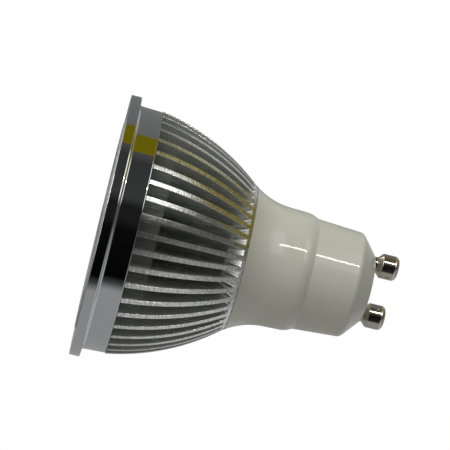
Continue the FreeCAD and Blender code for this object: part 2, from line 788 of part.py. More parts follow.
def build():
    nodes = {
        "front_ring": front_ring(),
        "lens_holder": lens_holder(),
        "holder_seal": holder_seal(),
        "diode_board": diode_board(),
        "heat_pad": heat_pad(),
        "heat_sink": heat_sink(),
        "base_housing": base_housing(),
        "driver_board": driver_board(),
        "transformer_core": transformer_core(),
        "transformer_coil": transformer_coil(),
        "input_capacitor": can(input_can_r, input_can_length, input_can_at, 1),
        "output_capacitor": can(OUTPUT_CAN_R, OUTPUT_CAN_LENGTH, OUTPUT_CAN_AT, -1),
        "controller_chip": chip(CHIP_LENGTH, CHIP_WIDTH, CHIP_T, chip_at, CHIP_FEET),
        "bridge_rectifier": chip(BRIDGE_LENGTH, BRIDGE_WIDTH, BRIDGE_T, bridge_at, BRIDGE_FEET),
        "fuse_resistor": fuse_resistor(),
    }
    for i, angle in enumerate(lens_angles(), start=1):
        place = on_circle(lens_circle, angle)
        nodes[f"lens_{i}"] = moved(lens(), place)
        nodes[f"diode_{i}"] = moved(diode(), place, angle)
    for i, angle in enumerate(between_angles(), start=1):
        nodes[f"board_screw_{i}"] = moved(board_screw(), on_circle(screw_circle, angle), angle)
    for i, place in enumerate(boss_places(), start=1):
        nodes[f"housing_screw_{i}"] = moved(housing_screw(), place)
    for i, side in enumerate((1, -1), start=1):
        nodes[f"contact_pin_{i}"] = moved(contact_pin(), Vector(side * PIN_SPACING / 2, 0, 0))
        nodes[f"input_wire_{i}"] = input_wire(side)
        nodes[f"output_wire_{i}"] = output_wire(side)
    return nodes


os.makedirs("parts", exist_ok=True)
for name, shape in build().items():
    shape.exportStep(f"parts/{name}.step")
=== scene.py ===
import math

import bpy
from mathutils import Matrix, Vector

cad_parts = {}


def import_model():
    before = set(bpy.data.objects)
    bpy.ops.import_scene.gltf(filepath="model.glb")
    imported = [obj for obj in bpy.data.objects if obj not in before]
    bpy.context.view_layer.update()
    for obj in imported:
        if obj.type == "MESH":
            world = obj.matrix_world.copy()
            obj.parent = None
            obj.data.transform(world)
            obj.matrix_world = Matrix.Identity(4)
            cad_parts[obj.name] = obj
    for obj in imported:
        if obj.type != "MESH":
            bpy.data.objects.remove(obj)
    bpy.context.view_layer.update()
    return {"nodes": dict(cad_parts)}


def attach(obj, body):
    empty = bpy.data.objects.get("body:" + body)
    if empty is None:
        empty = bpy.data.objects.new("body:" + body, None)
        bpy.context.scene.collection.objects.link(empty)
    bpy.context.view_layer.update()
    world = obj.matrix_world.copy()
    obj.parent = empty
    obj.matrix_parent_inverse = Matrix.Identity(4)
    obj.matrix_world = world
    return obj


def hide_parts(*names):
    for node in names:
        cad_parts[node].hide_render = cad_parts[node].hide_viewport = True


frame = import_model()

# The lamp stands on its front face. Lengths below are in millimetres and angles in degrees,
# and every mesh and place is turned into metres by MM.
MM = 0.001

# Levels along the axis, from the front face
FLANGE_FRONT = 0.2
FLANGE_BACK = 2.15
RING_END = 6.6
WEB_BACK = 1.75
NECK_FRONT = 3.55
FINS_FRONT = 6.7
RIM_END = 10.5
CUP_FLOOR = 8.75
BORE_FLOOR = 12.35
COLLAR_END = 27.2
BASE_END = 52.05
PIN_TIP = 56.75

# Front ring
RING_R = 25.0
FLANGE_FILLET = 0.5
BAND_R = 23.4
BAND_REAR_R = 23.2
RING_BORE_R = 21.4
OPENING_R = 20.15
FLANGE_DISH = 0.1
FRONT_ROUND = 0.06
SOFT_ROUND = 0.1
EDGE_WIDTH = 0.18
EDGE_DROP = 0.04
EDGE_ROUND = 0.04
REAR_WIDTH = 0.11
REAR_DROP = 0.022
REAR_BEND = 0.08
REAR_ROUND = 0.03

# Heat sink
FIN_COUNT = 45
FIN_T = 0.9
FIN_PHASE = 76.0
FIN_CREST_R = 23.85
COLLAR_R = 13.9
FIN_DROP = FIN_CREST_R - COLLAR_R
FIN_ARC_R = (FIN_DROP ** 2 + (COLLAR_END - FLANGE_FRONT) ** 2) / (2 * FIN_DROP)
FIN_EDGE = 0.07
FIN_FOOT = 0.12
RIM_FLOOR_R = 19.2
HUB_R = 12.4
RUNOUT_LENGTH = 2.9
COLLAR_WIDTH = 0.65
GROOVE_END = COLLAR_END - COLLAR_WIDTH
RISE_START = GROOVE_END - RUNOUT_LENGTH
NECK_R = 21.3
CUP_R = 17.6
BORE_R = 10.4
WIRE_HOLE_R = 1.9

# Housing: each corner is (radius, distance from the collar, radius of its curve)
SKIRT_R = 13.84
SEAM_DEPTH = 0.3
SEAM_WIDTH = 0.2
SEAM_ROUND = 0.08
SPIGOT_R = 10.3
SPIGOT_FRONT = 12.55
CAVITY_R = 8.7
CAVITY_END_R = 7.0
CAVITY_TAPER = 1.5
WALL_INSIDE = 49.45
HOUSING_CORNERS = ((11.7, 3.2, 13.0), (11.38, 11.3, 4.5), (10.69, 12.75, 0.35),
                   (10.11, 21.75, 1.5), (6.41, 24.85, 0.25))

# Contact pins
PIN_OFFSET = 5.0
PIN_NECK_R = 1.45
PIN_HEAD_R = 2.35
PIN_HEAD_START = 52.65
PIN_CONE_LENGTH = 0.9
PIN_SHOULDER_ROUND = 0.12
PIN_TIP_ROUND = 0.9
PIN_COLLAR_R = 1.85
PIN_COLLAR_FRONT = 48.75
PIN_TAIL_R = 0.75
PIN_TAIL_END = 46.95

# Mesh fineness: steps round a piece and along its rounds, the distance of the points that keep
# a flat beside a round flat, the shortest flat that has them, the radius below which a point
# lies on the axis, and the angles over which an edge is sharp
RING_STEPS = 288
PIN_STEPS = 96
ROUND_STEPS = 5
FILLET_STEPS = 12
PIN_TIP_STEPS = 10
RIM_STEPS = 5
GROOVE_STEPS = 14
RUNOUT_STEPS = 8
SUPPORT = 0.03
SHORTEST_FLAT = 3 * SUPPORT
ON_AXIS = 1e-6
SHARP_ANGLE = 35
FIN_SHARP_ANGLE = 33

# Shares of a fin's half section at which it has points, and the steps of its rounds in degrees
TIP_SHARES = (0.0, 0.5, 0.9, 1.0)
WALL_SHARES = (0.03, 0.35, 0.7)
FLOOR_SHARES = (0.2, 0.6, 1.0)
ROUND_TURNS = (0, 30, 60, 90)
SHALLOW_SHARE = 0.3


def point(r, z):
    return Vector((r, z))


def corner_round(before, corner, after, radius, steps=ROUND_STEPS):
    """Points along the round of this radius at a corner, from one line to the other."""
    back = (before - corner).normalized()
    ahead = (after - corner).normalized()
    half = back.angle(ahead) / 2
    reach = radius / math.tan(half)
    centre = corner + (back + ahead).normalized() * (radius / math.sin(half))
    start = corner + back * reach - centre
    end = corner + ahead * reach - centre
    turn = start.angle(end)
    return [centre + (start * math.sin(turn * (1 - i / steps)) + end * math.sin(turn * i / steps))
            / math.sin(turn) for i in range(steps + 1)]


def rounded(corners):
    """A closed outline with its corners rounded, and close points that keep the flats flat."""
    outline = []
    count = len(corners)
    for i, (r, z, radius, *steps) in enumerate(corners):
        corner = point(r, z)
        before = point(*corners[i - 1][:2])
        after = point(*corners[(i + 1) % count][:2])
        bend = [corner]
        if radius:
            bend = corner_round(before, corner, after, radius, *steps)
        to_before = (before - bend[0]).length
        to_after = (after - bend[-1]).length
        if radius and to_before > SHORTEST_FLAT:
            outline.append(bend[0] + (before - bend[0]).normalized() * SUPPORT)
        outline.extend(bend)
        if radius and to_after > SHORTEST_FLAT:
            outline.append(bend[-1] + (after - bend[-1]).normalized() * SUPPORT)
    return outline


def make_object(name, vertices, faces, face_slots=None):
    mesh = bpy.data.meshes.new(name)
    mesh.from_pydata([Vector(v) * MM for v in vertices], [], faces)
    mesh.validate()
    mesh.shade_smooth()
    if face_slots:
        mesh.polygons.foreach_set("material_index", face_slots)
    obj = bpy.data.objects.new(name, mesh)
    bpy.context.scene.collection.objects.link(obj)
    return obj


def set_sharp(obj, degrees):
    obj.data.set_sharp_from_angle(angle=math.radians(degrees))


def ring_point(r, turn, z, x=0.0):
    """A point at an angle in radians round an upright axis at x."""
    return (x + r * math.cos(turn), r * math.sin(turn), z)


def full_turn(steps):
    return [2 * math.pi * k / steps for k in range(steps)]


def quads(low, high):
    """Faces between two rows of points, without the corners that fall together."""
    faces = []
    for k in range(len(low)):
        following = (k + 1) % len(low)
        corners = list(dict.fromkeys([low[k], low[following], high[following], high[k]]))
        if len(corners) > 2:
            faces.append(corners)
    return faces


def lathe(name, outline, steps, x=0.0, closed=True):
    """A turned piece about an upright axis at x, from an outline of (radius, z) points."""
    vertices = []
    rows = []
    for r, z in outline:
        first = len(vertices)
        if r < ON_AXIS:
            rows.append([first] * steps)
            vertices.append((x, 0.0, z))
        else:
            rows.append(list(range(first, first + steps)))
            vertices += [ring_point(r, turn, z, x) for turn in full_turn(steps)]
    following_rows = rows[1:] + rows[:1] if closed else rows[1:]
    faces = []
    for low, high in zip(rows, following_rows):
        faces += quads(low, high)
    obj = make_object(name, vertices, faces)
    set_sharp(obj, SHARP_ANGLE)
    return obj


def front_ring():
    outline = rounded([
        (OPENING_R, FLANGE_FRONT + FLANGE_DISH, SOFT_ROUND),
        (RING_R, FLANGE_FRONT, FRONT_ROUND),
        (RING_R, FLANGE_BACK - EDGE_WIDTH, SOFT_ROUND),
        (RING_R - EDGE_DROP, FLANGE_BACK, EDGE_ROUND),
        (BAND_R, FLANGE_BACK, FLANGE_FILLET, FILLET_STEPS),
        (BAND_REAR_R, RING_END - REAR_WIDTH, REAR_BEND),
        (BAND_REAR_R - REAR_DROP, RING_END, REAR_ROUND),
        (RING_BORE_R, RING_END, SOFT_ROUND),
        (RING_BORE_R, WEB_BACK, 0),
        (OPENING_R, WEB_BACK, SOFT_ROUND),
    ])
    return lathe("chrome_ring", outline, RING_STEPS)


def housing():
    corners = [
        (SPIGOT_R, SPIGOT_FRONT, 0),
        (SPIGOT_R, COLLAR_END, 0),
        (SKIRT_R - SEAM_DEPTH, COLLAR_END, 0),
        (SKIRT_R, COLLAR_END + SEAM_WIDTH, SEAM_ROUND),
    ]
    for r, along, curve in HOUSING_CORNERS:
        corners.append((r, COLLAR_END + along, curve, FILLET_STEPS))
    corners += [
        (0, BASE_END, 0),
        (0, WALL_INSIDE, 0),
        (CAVITY_END_R, WALL_INSIDE, 0),
        (CAVITY_R, WALL_INSIDE - CAVITY_TAPER, 0),
        (CAVITY_R, SPIGOT_FRONT, 0),
    ]
    return lathe("moulded_base", rounded(corners), RING_STEPS)


def contact_pin(side):
    cone_end = PIN_HEAD_START + PIN_CONE_LENGTH
    outline = rounded([
        (0, PIN_TAIL_END, 0),
        (PIN_TAIL_R, PIN_TAIL_END, SOFT_ROUND),
        (PIN_TAIL_R, PIN_COLLAR_FRONT, 0),
        (PIN_COLLAR_R, PIN_COLLAR_FRONT, 0),
        (PIN_COLLAR_R, WALL_INSIDE, 0),
        (PIN_NECK_R, WALL_INSIDE, 0),
        (PIN_NECK_R, PIN_HEAD_START, SOFT_ROUND),
        (PIN_HEAD_R, cone_end, PIN_SHOULDER_ROUND),
        (PIN_HEAD_R, PIN_TIP, PIN_TIP_ROUND, PIN_TIP_STEPS),
        (0, PIN_TIP, 0),
    ])
    number = 1 if side > 0 else 2
    return lathe(f"turned_pin_{number}", outline, PIN_STEPS, x=side * PIN_OFFSET, closed=False)


def sink_radius(z):
    return FIN_CREST_R - FIN_ARC_R + math.sqrt(FIN_ARC_R ** 2 - (z - FLANGE_FRONT) ** 2)


def groove_floor(z, behind_step):
    """The radius of the groove's floor: the shallow rim, the hub, then the rising end."""
    if z < RIM_END or (z == RIM_END and not behind_step):
        return RIM_FLOOR_R
    rise = (z - RISE_START) / RUNOUT_LENGTH
    return HUB_R + max(0.0, rise) * (sink_radius(GROOVE_END) - HUB_R)


# Kinds of surface on the heat sink, and the finishes of its material slots in the same order; the
# run-outs' finish carries painted highlight and the rim's painted shade
TIP, WALL, FLOOR, RIM = 0, 1, 2, 3
SINK_FINISHES = ("tip", "wall", "run_out_highlight", "rim")


def fin_half_section(tip_r, floor_r):
    """Points from the middle of a fin's tip to the middle of the groove, on one side.

    Each point is (radius, angle in degrees) with the kind of surface that follows it.
    """
    half_t = FIN_T / 2
    half_pitch = 180.0 / FIN_COUNT
    depth = tip_r - floor_r
    edge = min(FIN_EDGE, depth * SHALLOW_SHARE)
    foot = min(FIN_FOOT, depth * SHALLOW_SHARE)
    flat_half = math.degrees(math.asin((half_t - edge) / tip_r))
    section = [(tip_r, share * flat_half, TIP) for share in TIP_SHARES]
    for degrees in ROUND_TURNS[1:]:
        turn = math.radians(degrees)
        x = tip_r - edge * (1 - math.cos(turn))
        y = half_t - edge * (1 - math.sin(turn))
        kind = TIP if degrees < ROUND_TURNS[-1] else WALL
        section.append((math.hypot(x, y), math.degrees(math.atan2(y, x)), kind))
    for share in WALL_SHARES:
        x = tip_r - edge - share * (depth - edge - foot)
        section.append((math.hypot(x, half_t), math.degrees(math.atan2(half_t, x)), WALL))
    for degrees in ROUND_TURNS:
        turn = math.radians(degrees)
        x = floor_r + foot * (1 - math.sin(turn))
        y = half_t + foot * (1 - math.cos(turn))
        section.append((max(floor_r, math.hypot(x, y)), math.degrees(math.atan2(y, x)), FLOOR))
    foot_angle = section[-1][1]
    for share in FLOOR_SHARES:
        section.append((floor_r, foot_angle + share * (half_pitch - foot_angle), FLOOR))
    return section


def sink_levels():
    """Levels along the fins, as (z, behind the step in the grooves' floor)."""
    rim_length = RIM_END - FINS_FRONT
    groove_length = RISE_START - RIM_END
    levels = [(FINS_FRONT, False), (FINS_FRONT + SUPPORT, False)]
    levels += [(FINS_FRONT + rim_length * i / RIM_STEPS, False) for i in range(1, RIM_STEPS)]
    levels += [(RIM_END - SUPPORT, False), (RIM_END, False), (RIM_END, True), (RIM_END + SUPPORT, True)]
    levels += [(RIM_END + groove_length * i / GROOVE_STEPS, True) for i in range(1, GROOVE_STEPS)]
    levels += [(RISE_START - SUPPORT, True), (RISE_START, True), (RISE_START + SUPPORT, True)]
    levels += [(RISE_START + RUNOUT_LENGTH * i / RUNOUT_STEPS, True) for i in range(1, RUNOUT_STEPS)]
    levels += [(GROOVE_END, True), ((GROOVE_END + COLLAR_END) / 2, True), (COLLAR_END, True)]
    return levels


def fin_ring(z, behind_step):
    """The section through all the fins: (radius, angle in radians) points and their kinds."""
    tip_r = sink_radius(z)
    floor_r = tip_r
    if z < GROOVE_END:
        floor_r = min(tip_r, groove_floor(z, behind_step))
    pitch = 360.0 / FIN_COUNT
    half = fin_half_section(tip_r, floor_r)
    one_fin = [(r, a) for r, a, _ in half]
    one_fin += [(r, pitch - a) for r, a, _ in half[-2:0:-1]]
    half_kinds = [kind for _, _, kind in half[:-1]]
    points = []
    for fin in range(FIN_COUNT):
        base = FIN_PHASE + fin * pitch
        points += [(r, math.radians(base + a)) for r, a in one_fin]
    return points, (half_kinds + half_kinds[::-1]) * FIN_COUNT


def sink_slot(kind, z):
    """The material slot of a face that starts at this level."""
    if z >= GROOVE_END:
        return TIP
    # Floors ahead of the step take the rim's painted shade, and floors on the rise take the run-outs'
    # painted highlight.
    if kind == FLOOR and z < RISE_START:
        return RIM if z < RIM_END else WALL
    return kind


def heat_sink():
    """The fins as sections joined along the axis, closed inside by the cup, plate and bore."""
    levels = sink_levels()
    rings = []
    for z, behind_step in levels:
        points, kinds = fin_ring(z, behind_step)
        rings.append([(r, turn, z) for r, turn in points])
    inside = [(BORE_R, COLLAR_END), (BORE_R, BORE_FLOOR), (WIRE_HOLE_R, BORE_FLOOR),
              (WIRE_HOLE_R, CUP_FLOOR), (CUP_R, CUP_FLOOR), (CUP_R, NECK_FRONT),
              (NECK_R, NECK_FRONT), (NECK_R, FINS_FRONT)]
    front, back = rings[0], rings[-1]
    for i, (r, z) in enumerate(inside):
        share = i / (len(inside) - 1)
        rings.append([(r, late * (1 - share) + early * share, z)
                      for (_, late, _), (_, early, _) in zip(back, front)])
    width = len(front)
    rows = [list(range(i * width, (i + 1) * width)) for i in range(len(rings))]
    rows.append(rows[0])
    faces = []
    slots = []
    for i in range(len(rows) - 1):
        faces += quads(rows[i], rows[i + 1])
        if i < len(levels) - 1:
            slots += [sink_slot(kind, levels[i][0]) for kind in kinds]
        else:
            slots += [WALL] * width
    vertices = [ring_point(r, turn, z) for ring in rings for r, turn, z in ring]
    obj = make_object("finned_sink", vertices, faces, slots)
    set_sharp(obj, FIN_SHARP_ANGLE)
    return obj


# How much coarser the mottle of a finish is than its grain, how strongly plastics refract, the
# roughness of the wires' insulation, and a white for what glows
METAL_MOTTLE = 14
PLASTIC_MOTTLE = 10
MOULDING_IOR = 1.5
ACRYLIC_IOR = 1.49
WIRE_ROUGH = (0.3, 0.45)
WHITE = (1, 1, 1)

# Where a new stop of a colour ramp starts, before it gets its own place
NEW_STOP = 0.5


def new_material(name):
    material = bpy.data.materials.new(name)
    material.use_nodes = True
    tree = material.node_tree
    shader = tree.nodes["Principled BSDF"]
    return material, tree, shader


def add_node(tree, kind, **settings):
    node = tree.nodes.new(kind)
    for key, value in settings.items():
        setattr(node, key, value)
    return node


def object_coordinates(tree, scale=(1, 1, 1)):
    coordinates = add_node(tree, "ShaderNodeTexCoord")
    mapping = add_node(tree, "ShaderNodeMapping")
    mapping.inputs["Scale"].default_value = scale
    tree.links.new(coordinates.outputs["Object"], mapping.inputs["Vector"])
    return mapping.outputs["Vector"]


def noise(tree, vector, scale, detail=3.0, roughness=0.5):
    node = add_node(tree, "ShaderNodeTexNoise")
    node.inputs["Scale"].default_value = scale
    node.inputs["Detail"].default_value = detail
    node.inputs["Roughness"].default_value = roughness
    tree.links.new(vector, node.inputs["Vector"])
    return node.outputs["Fac"]


def ramp(tree, value, stops):
    """A colour ramp from (position, grey or colour) stops."""
    node = add_node(tree, "ShaderNodeValToRGB")
    elements = node.color_ramp.elements
    while len(elements) < len(stops):
        elements.new(NEW_STOP)
    for element, (position, colour) in zip(elements, stops):
        if not isinstance(colour, tuple):
            colour = (colour, colour, colour)
        element.position = position
        element.color = (*colour, 1.0)
    tree.links.new(value, node.inputs["Fac"])
    return node.outputs["Color"]


def bump(tree, shader, height, strength, distance):
    node = add_node(tree, "ShaderNodeBump")
    node.inputs["Strength"].default_value = strength
    node.inputs["Distance"].default_value = distance * MM
    tree.links.new(height, node.inputs["Height"])
    tree.links.new(node.outputs["Normal"], shader.inputs["Normal"])


def paint(tree, shader, socket, value):
    tree.links.new(value, shader.inputs[socket])


def metal(name, dark, light, rough, grain, scale=(1, 1, 1), bump_size=0.004, bump_strength=0.4,
          metallic=1.0, mottle=METAL_MOTTLE):
    """A metal whose gloss varies with a fine grain, and its tone with one mottle times coarser."""
    material, tree, shader = new_material(name)
    shader.inputs["Metallic"].default_value = metallic
    vector = object_coordinates(tree, scale)
    fine = noise(tree, vector, grain, detail=4.0, roughness=0.6)
    broad = noise(tree, vector, grain / mottle)
    paint(tree, shader, "Base Color", ramp(tree, broad, [(0.3, dark), (0.7, light)]))
    paint(tree, shader, "Roughness", ramp(tree, fine, [(0.3, rough[0]), (0.75, rough[1])]))
    bump(tree, shader, fine, bump_strength, bump_size)
    return material


def plastic(name, dark, light, rough, grain, bump_size=0.003, bump_strength=0.15):
    """A moulded plastic with a faint mottle and an almost smooth skin."""
    material, tree, shader = new_material(name)
    vector = object_coordinates(tree)
    fine = noise(tree, vector, grain, detail=2.0)
    broad = noise(tree, vector, grain / PLASTIC_MOTTLE)
    paint(tree, shader, "Base Color", ramp(tree, broad, [(0.3, dark), (0.7, light)]))
    paint(tree, shader, "Roughness", ramp(tree, fine, [(0.3, rough[0]), (0.7, rough[1])]))
    bump(tree, shader, fine, bump_strength, bump_size)
    shader.inputs["IOR"].default_value = MOULDING_IOR
    return material


def clear_plastic():
    material, tree, shader = new_material("clear_acrylic")
    vector = object_coordinates(tree)
    faint = noise(tree, vector, 900.0)
    paint(tree, shader, "Roughness", ramp(tree, faint, [(0.3, 0.01), (0.7, 0.04)]))
    paint(tree, shader, "Base Color", ramp(tree, faint, [(0.0, 0.97), (1.0, 1.0)]))
    shader.inputs["Transmission Weight"].default_value = 1.0
    shader.inputs["IOR"].default_value = ACRYLIC_IOR
    return material


def dress(obj, *materials):
    for material in materials:
        obj.data.materials.append(material)


def dress_node(node, material):
    obj = frame["nodes"][node]
    for slot in obj.material_slots:
        slot.material = material


def build_materials():
    return {
        "chrome": metal("polished_chrome", (0.66, 0.67, 0.68), (0.72, 0.73, 0.74), (0.015, 0.04),
                        900.0, bump_size=0.0002, bump_strength=0.05),
        "tip": metal("turned_aluminium", (0.5, 0.5, 0.49), (0.95, 0.95, 0.935), (0.08, 0.28),
                     3200.0, scale=(0.4, 0.4, 1), bump_size=0.05, bump_strength=0.8, mottle=0.9),
        # The run-outs' aluminium is a brighter, glossier copy of the groove floor's: its gloss is their
        # finish, its brighter colour is painted highlight.
        "run_out_highlight": metal("run_out_aluminium_painted_highlight", (0.86, 0.86, 0.845), (0.94, 0.94, 0.925), (0.12, 0.18),
                     3000.0, bump_size=0.001, bump_strength=0.3, metallic=0.8),
        "wall": metal("cast_aluminium", (0.5, 0.515, 0.475), (0.64, 0.655, 0.61), (0.2, 0.3),
                      2400.0, scale=(1, 1, 0.06), bump_size=0.003, bump_strength=0.5, metallic=0.7),
        # The rim floors' aluminium is a darker copy of the cast aluminium: painted shade on the shallow
        # floors.
        "rim": metal("rim_aluminium_painted_shade", (0.32, 0.33, 0.31), (0.44, 0.45, 0.425), (0.16, 0.24),
                     2400.0, scale=(1, 1, 0.06), bump_size=0.003, bump_strength=0.5, metallic=0.6),
        "nickel": metal("nickel_plating", (0.57, 0.54, 0.465), (0.68, 0.645, 0.56), (0.1, 0.17),
                        1500.0, scale=(0.3, 0.3, 4), bump_size=0.0008, bump_strength=0.15),
        "steel": metal("zinc_plated_steel", (0.5, 0.51, 0.54), (0.62, 0.63, 0.66), (0.2, 0.35),
                       1800.0),
        "housing": plastic("off_white_moulding", (0.555, 0.56, 0.465), (0.585, 0.59, 0.495),
                           (0.06, 0.12), 1500.0),
        # The lens holder's dark grey is painted shade: it gives the front face its dim tone.
        "holder": plastic("holder_moulding_painted_shade", (0.3, 0.3, 0.295), (0.35, 0.35, 0.34),
                          (0.25, 0.4), 1500.0),
        "seal": plastic("grey_rubber", (0.2, 0.2, 0.2), (0.26, 0.26, 0.26), (0.6, 0.75), 1500.0,
                        bump_size=0.01, bump_strength=0.4),
        "lens": clear_plastic(),
        "phosphor": plastic("yellow_silicone", (0.72, 0.5, 0.06), (0.8, 0.6, 0.1), (0.3, 0.4),
                            3000.0),
        "white_board": plastic("white_solder_mask", (0.7, 0.7, 0.69), (0.76, 0.76, 0.75),
                               (0.3, 0.4), 1200.0),
        "green_board": plastic("green_solder_mask", (0.02, 0.13, 0.05), (0.03, 0.18, 0.07),
                               (0.25, 0.4), 1200.0),
        "pad": plastic("grey_heat_pad", (0.32, 0.34, 0.38), (0.38, 0.4, 0.44), (0.6, 0.8), 1600.0),
        "ferrite": plastic("ferrite", (0.03, 0.03, 0.035), (0.06, 0.06, 0.065), (0.5, 0.7), 2600.0,
                           bump_size=0.02, bump_strength=0.6),
        "tape": plastic("yellow_winding_tape", (0.62, 0.42, 0.05), (0.7, 0.5, 0.08), (0.3, 0.5),
                        1500.0),
        "sleeve": plastic("dark_blue_sleeve", (0.01, 0.014, 0.05), (0.02, 0.025, 0.07),
                          (0.15, 0.3), 1200.0),
        "epoxy": plastic("black_epoxy", (0.012, 0.012, 0.013), (0.03, 0.03, 0.032), (0.4, 0.6),
                         3000.0),
        "lacquer": plastic("green_grey_lacquer", (0.12, 0.24, 0.27), (0.16, 0.3, 0.33), (0.3, 0.5),
                           1800.0),
        "brown": plastic("brown_insulation", (0.09, 0.035, 0.012), (0.13, 0.05, 0.02), WIRE_ROUGH,
                         1500.0),
        "blue": plastic("blue_insulation", (0.015, 0.05, 0.28), (0.03, 0.08, 0.36), WIRE_ROUGH,
                        1500.0),
        "red": plastic("red_insulation", (0.36, 0.012, 0.01), (0.45, 0.02, 0.015), WIRE_ROUGH,
                       1500.0),
        "black": plastic("black_insulation", (0.012, 0.012, 0.012), (0.02, 0.02, 0.02), WIRE_ROUGH,
                         1500.0),
    }


NODES_OF_FINISH = {
    "holder": ("lens_holder",),
    "seal": ("holder_seal",),
    "lens": ("lens_1", "lens_2", "lens_3"),
    "phosphor": ("diode_1", "diode_2", "diode_3"),
    "white_board": ("diode_board",),
    "pad": ("heat_pad",),
    "steel": ("board_screw_1", "board_screw_2", "board_screw_3", "housing_screw_1", "housing_screw_2"),
    "green_board": ("driver_board",),
    "ferrite": ("transformer_core",),
    "tape": ("transformer_coil",),
    "sleeve": ("input_capacitor", "output_capacitor"),
    "epoxy": ("controller_chip", "bridge_rectifier"),
    "lacquer": ("fuse_resistor",),
    "brown": ("input_wire_1",),
    "blue": ("input_wire_2",),
    "red": ("output_wire_1",),
    "black": ("output_wire_2",),
}


def place_piece(obj, node, slot, *materials):
    dress(obj, *materials)
    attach(obj, "root")
    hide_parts(node)


# The camera is a little below the plane of the front face, and a fin's middle faces it. Its
# focal length is in pixels of the photograph.
CAMERA_AZIMUTH = 166.0
CAMERA_DISTANCE = 370.0
CAMERA_Z = -4.05
AIM_Z = 23.04
AIM_UP = 5.40
CAMERA_ROLL = 13.63
FOCAL_PIXELS = 1966.0
IMAGE_PIXELS = 450
SENSOR_MM = 36.0
CLIP_START = 10.0

# Ways from the bulb: level towards the camera, level towards what is its upper side in the
# photograph, and along its axis towards the pins
azimuth = math.radians(CAMERA_AZIMUTH)
TO_CAMERA = Vector((math.sin(azimuth), -math.cos(azimuth), 0))
UP_SIDE = Vector((-math.cos(azimuth), -math.sin(azimuth), 0))
AXIS = Vector((0, 0, 1))


def aim(obj, target, upward):
    """Turns a camera or lamp towards a target, with its own y axis near upward."""
    back = (obj.location - target).normalized()
    right = upward.cross(back).normalized()
    above = back.cross(right)
    obj.matrix_world = Matrix.LocRotScale(
        obj.location, Matrix((right, above, back)).transposed().to_quaternion(), None)


def camera():
    data = bpy.data.cameras.new("camera")
    data.sensor_width = SENSOR_MM
    data.lens = FOCAL_PIXELS / IMAGE_PIXELS * SENSOR_MM
    data.clip_start = CLIP_START * MM
    obj = bpy.data.objects.new("camera", data)
    bpy.context.scene.collection.objects.link(obj)
    obj.location = (TO_CAMERA * CAMERA_DISTANCE + AXIS * CAMERA_Z) * MM
    roll = math.radians(CAMERA_ROLL)
    upward = UP_SIDE * math.cos(roll) - AXIS * math.sin(roll)
    aim(obj, (AXIS * AIM_Z + UP_SIDE * AIM_UP) * MM, upward)
    bpy.context.scene.camera = obj


def direction(around, lean):
    """A direction given by its angle from the camera towards the bulb's upper side, and its
    lean towards the pins."""
    a, b = math.radians(around), math.radians(lean)
    return (TO_CAMERA * math.cos(a) + UP_SIDE * math.sin(a)) * math.cos(b) + AXIS * math.sin(b)


# The height on the bulb that the lamps face
LAMP_TARGET_Z = 25.0


def soft_lamp(name, around, lean, distance, width, length, light):
    """A rectangular lamp that faces the bulb and gives a white surface there this brightness.

    Its distance and sizes are in metres. It is left out of reflections, which the studio walls
    and cards give.
    """
    data = bpy.data.lights.new(name, "AREA")
    data.shape = "RECTANGLE"
    data.size = width
    data.size_y = length
    data.energy = light * (math.pi * distance) ** 2
    obj = bpy.data.objects.new(name, data)
    bpy.context.scene.collection.objects.link(obj)
    target = AXIS * LAMP_TARGET_Z * MM
    obj.location = direction(around, lean) * distance + target
    aim(obj, target, AXIS)
    obj.visible_glossy = False


# The floor, with its rings from its edge to its opening. It is open under the bulb, so that the
# photograph's low view sees the front face lit.
FLOOR_OPENING_R = 24.4
FLOOR_RINGS = (2000.0, 200.0, 60.0, FLOOR_OPENING_R)
FLOOR_STEPS = 64
FLOOR_GLOW = 0.36

# Strength of the even light from all round
AMBIENT = 0.3


def seen_ray(tree):
    """1 where the camera, a reflection or clear plastic sees the background, else 0."""
    path = add_node(tree, "ShaderNodeLightPath")
    seen = path.outputs["Is Camera Ray"]
    for ray in ("Is Glossy Ray", "Is Transmission Ray"):
        either = add_node(tree, "ShaderNodeMath", operation="MAXIMUM")
        tree.links.new(seen, either.inputs[0])
        tree.links.new(path.outputs[ray], either.inputs[1])
        seen = either.outputs[0]
    return seen


def floor():
    """A pale floor that takes the bulb's shadow, glows where it is seen and is clear from below."""
    material, tree, shader = new_material("pale_floor")
    vector = object_coordinates(tree)
    faint = noise(tree, vector, 60.0)
    paint(tree, shader, "Base Color", ramp(tree, faint, [(0.3, 0.8), (0.7, 0.82)]))
    shader.inputs["Roughness"].default_value = 0.7
    shader.inputs["Emission Color"].default_value = (*WHITE, 1)
    glow = add_node(tree, "ShaderNodeMath", operation="MULTIPLY")
    glow.inputs[1].default_value = FLOOR_GLOW
    tree.links.new(seen_ray(tree), glow.inputs[0])
    tree.links.new(glow.outputs[0], shader.inputs["Emission Strength"])
    clear = add_node(tree, "ShaderNodeBsdfTransparent")
    geometry = add_node(tree, "ShaderNodeNewGeometry")
    mix = add_node(tree, "ShaderNodeMixShader")
    tree.links.new(geometry.outputs["Backfacing"], mix.inputs["Fac"])
    tree.links.new(shader.outputs["BSDF"], mix.inputs[1])
    tree.links.new(clear.outputs["BSDF"], mix.inputs[2])
    tree.links.new(mix.outputs["Shader"], tree.nodes["Material Output"].inputs["Surface"])
    outline = [(radius, 0) for radius in FLOOR_RINGS]
    obj = lathe("floor", outline, FLOOR_STEPS, closed=False)
    dress(obj, material)
    obj.visible_glossy = False
    obj.visible_shadow = False


